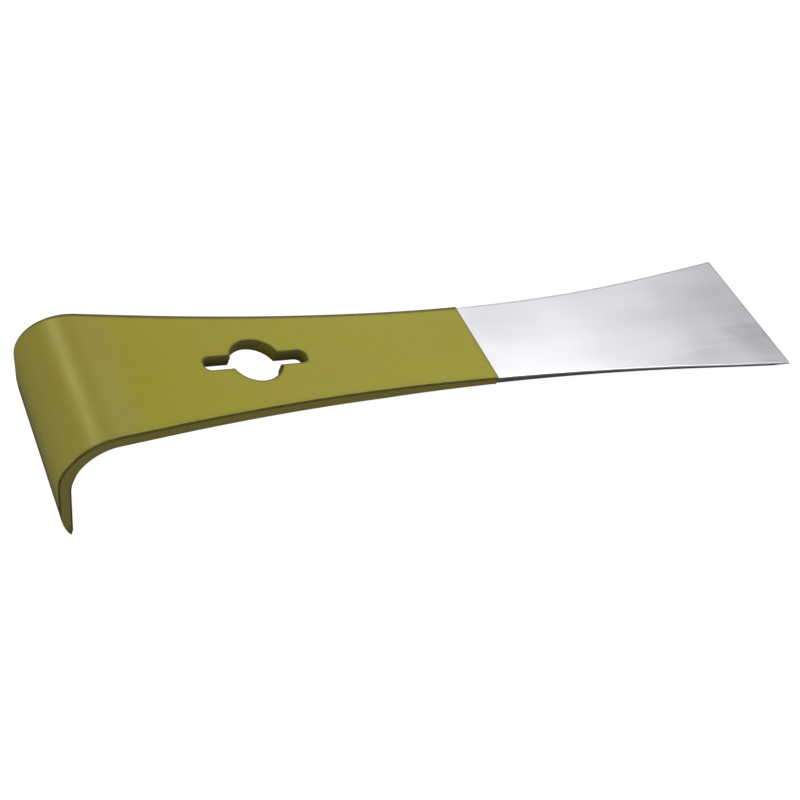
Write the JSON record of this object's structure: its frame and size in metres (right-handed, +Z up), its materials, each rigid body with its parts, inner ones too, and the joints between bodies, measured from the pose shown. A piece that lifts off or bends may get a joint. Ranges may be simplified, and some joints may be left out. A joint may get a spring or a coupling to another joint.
{
  "type": "pry bar",
  "caption": "Flat steel pry bar with a wide bevelled blade, a right-angle hook and a painted handle pierced by a slotted nail hole.",
  "frame": {"origin": "middle of the bar's box on the surface it rests on, hook edge and blade edge down", "axes": "+X from the hook towards the blade tip, +Y across the bar, +Z up"},
  "size_m": [0.254, 0.052, 0.0367],
  "materials": {
    "paint": "semi-gloss dipped paint, olive yellow",
    "steel": "ground and polished spring steel"
  },
  "bodies": {
    "root": {"steel_bar": "steel", "paint_coat": "paint"}
  },
  "joints": []
}
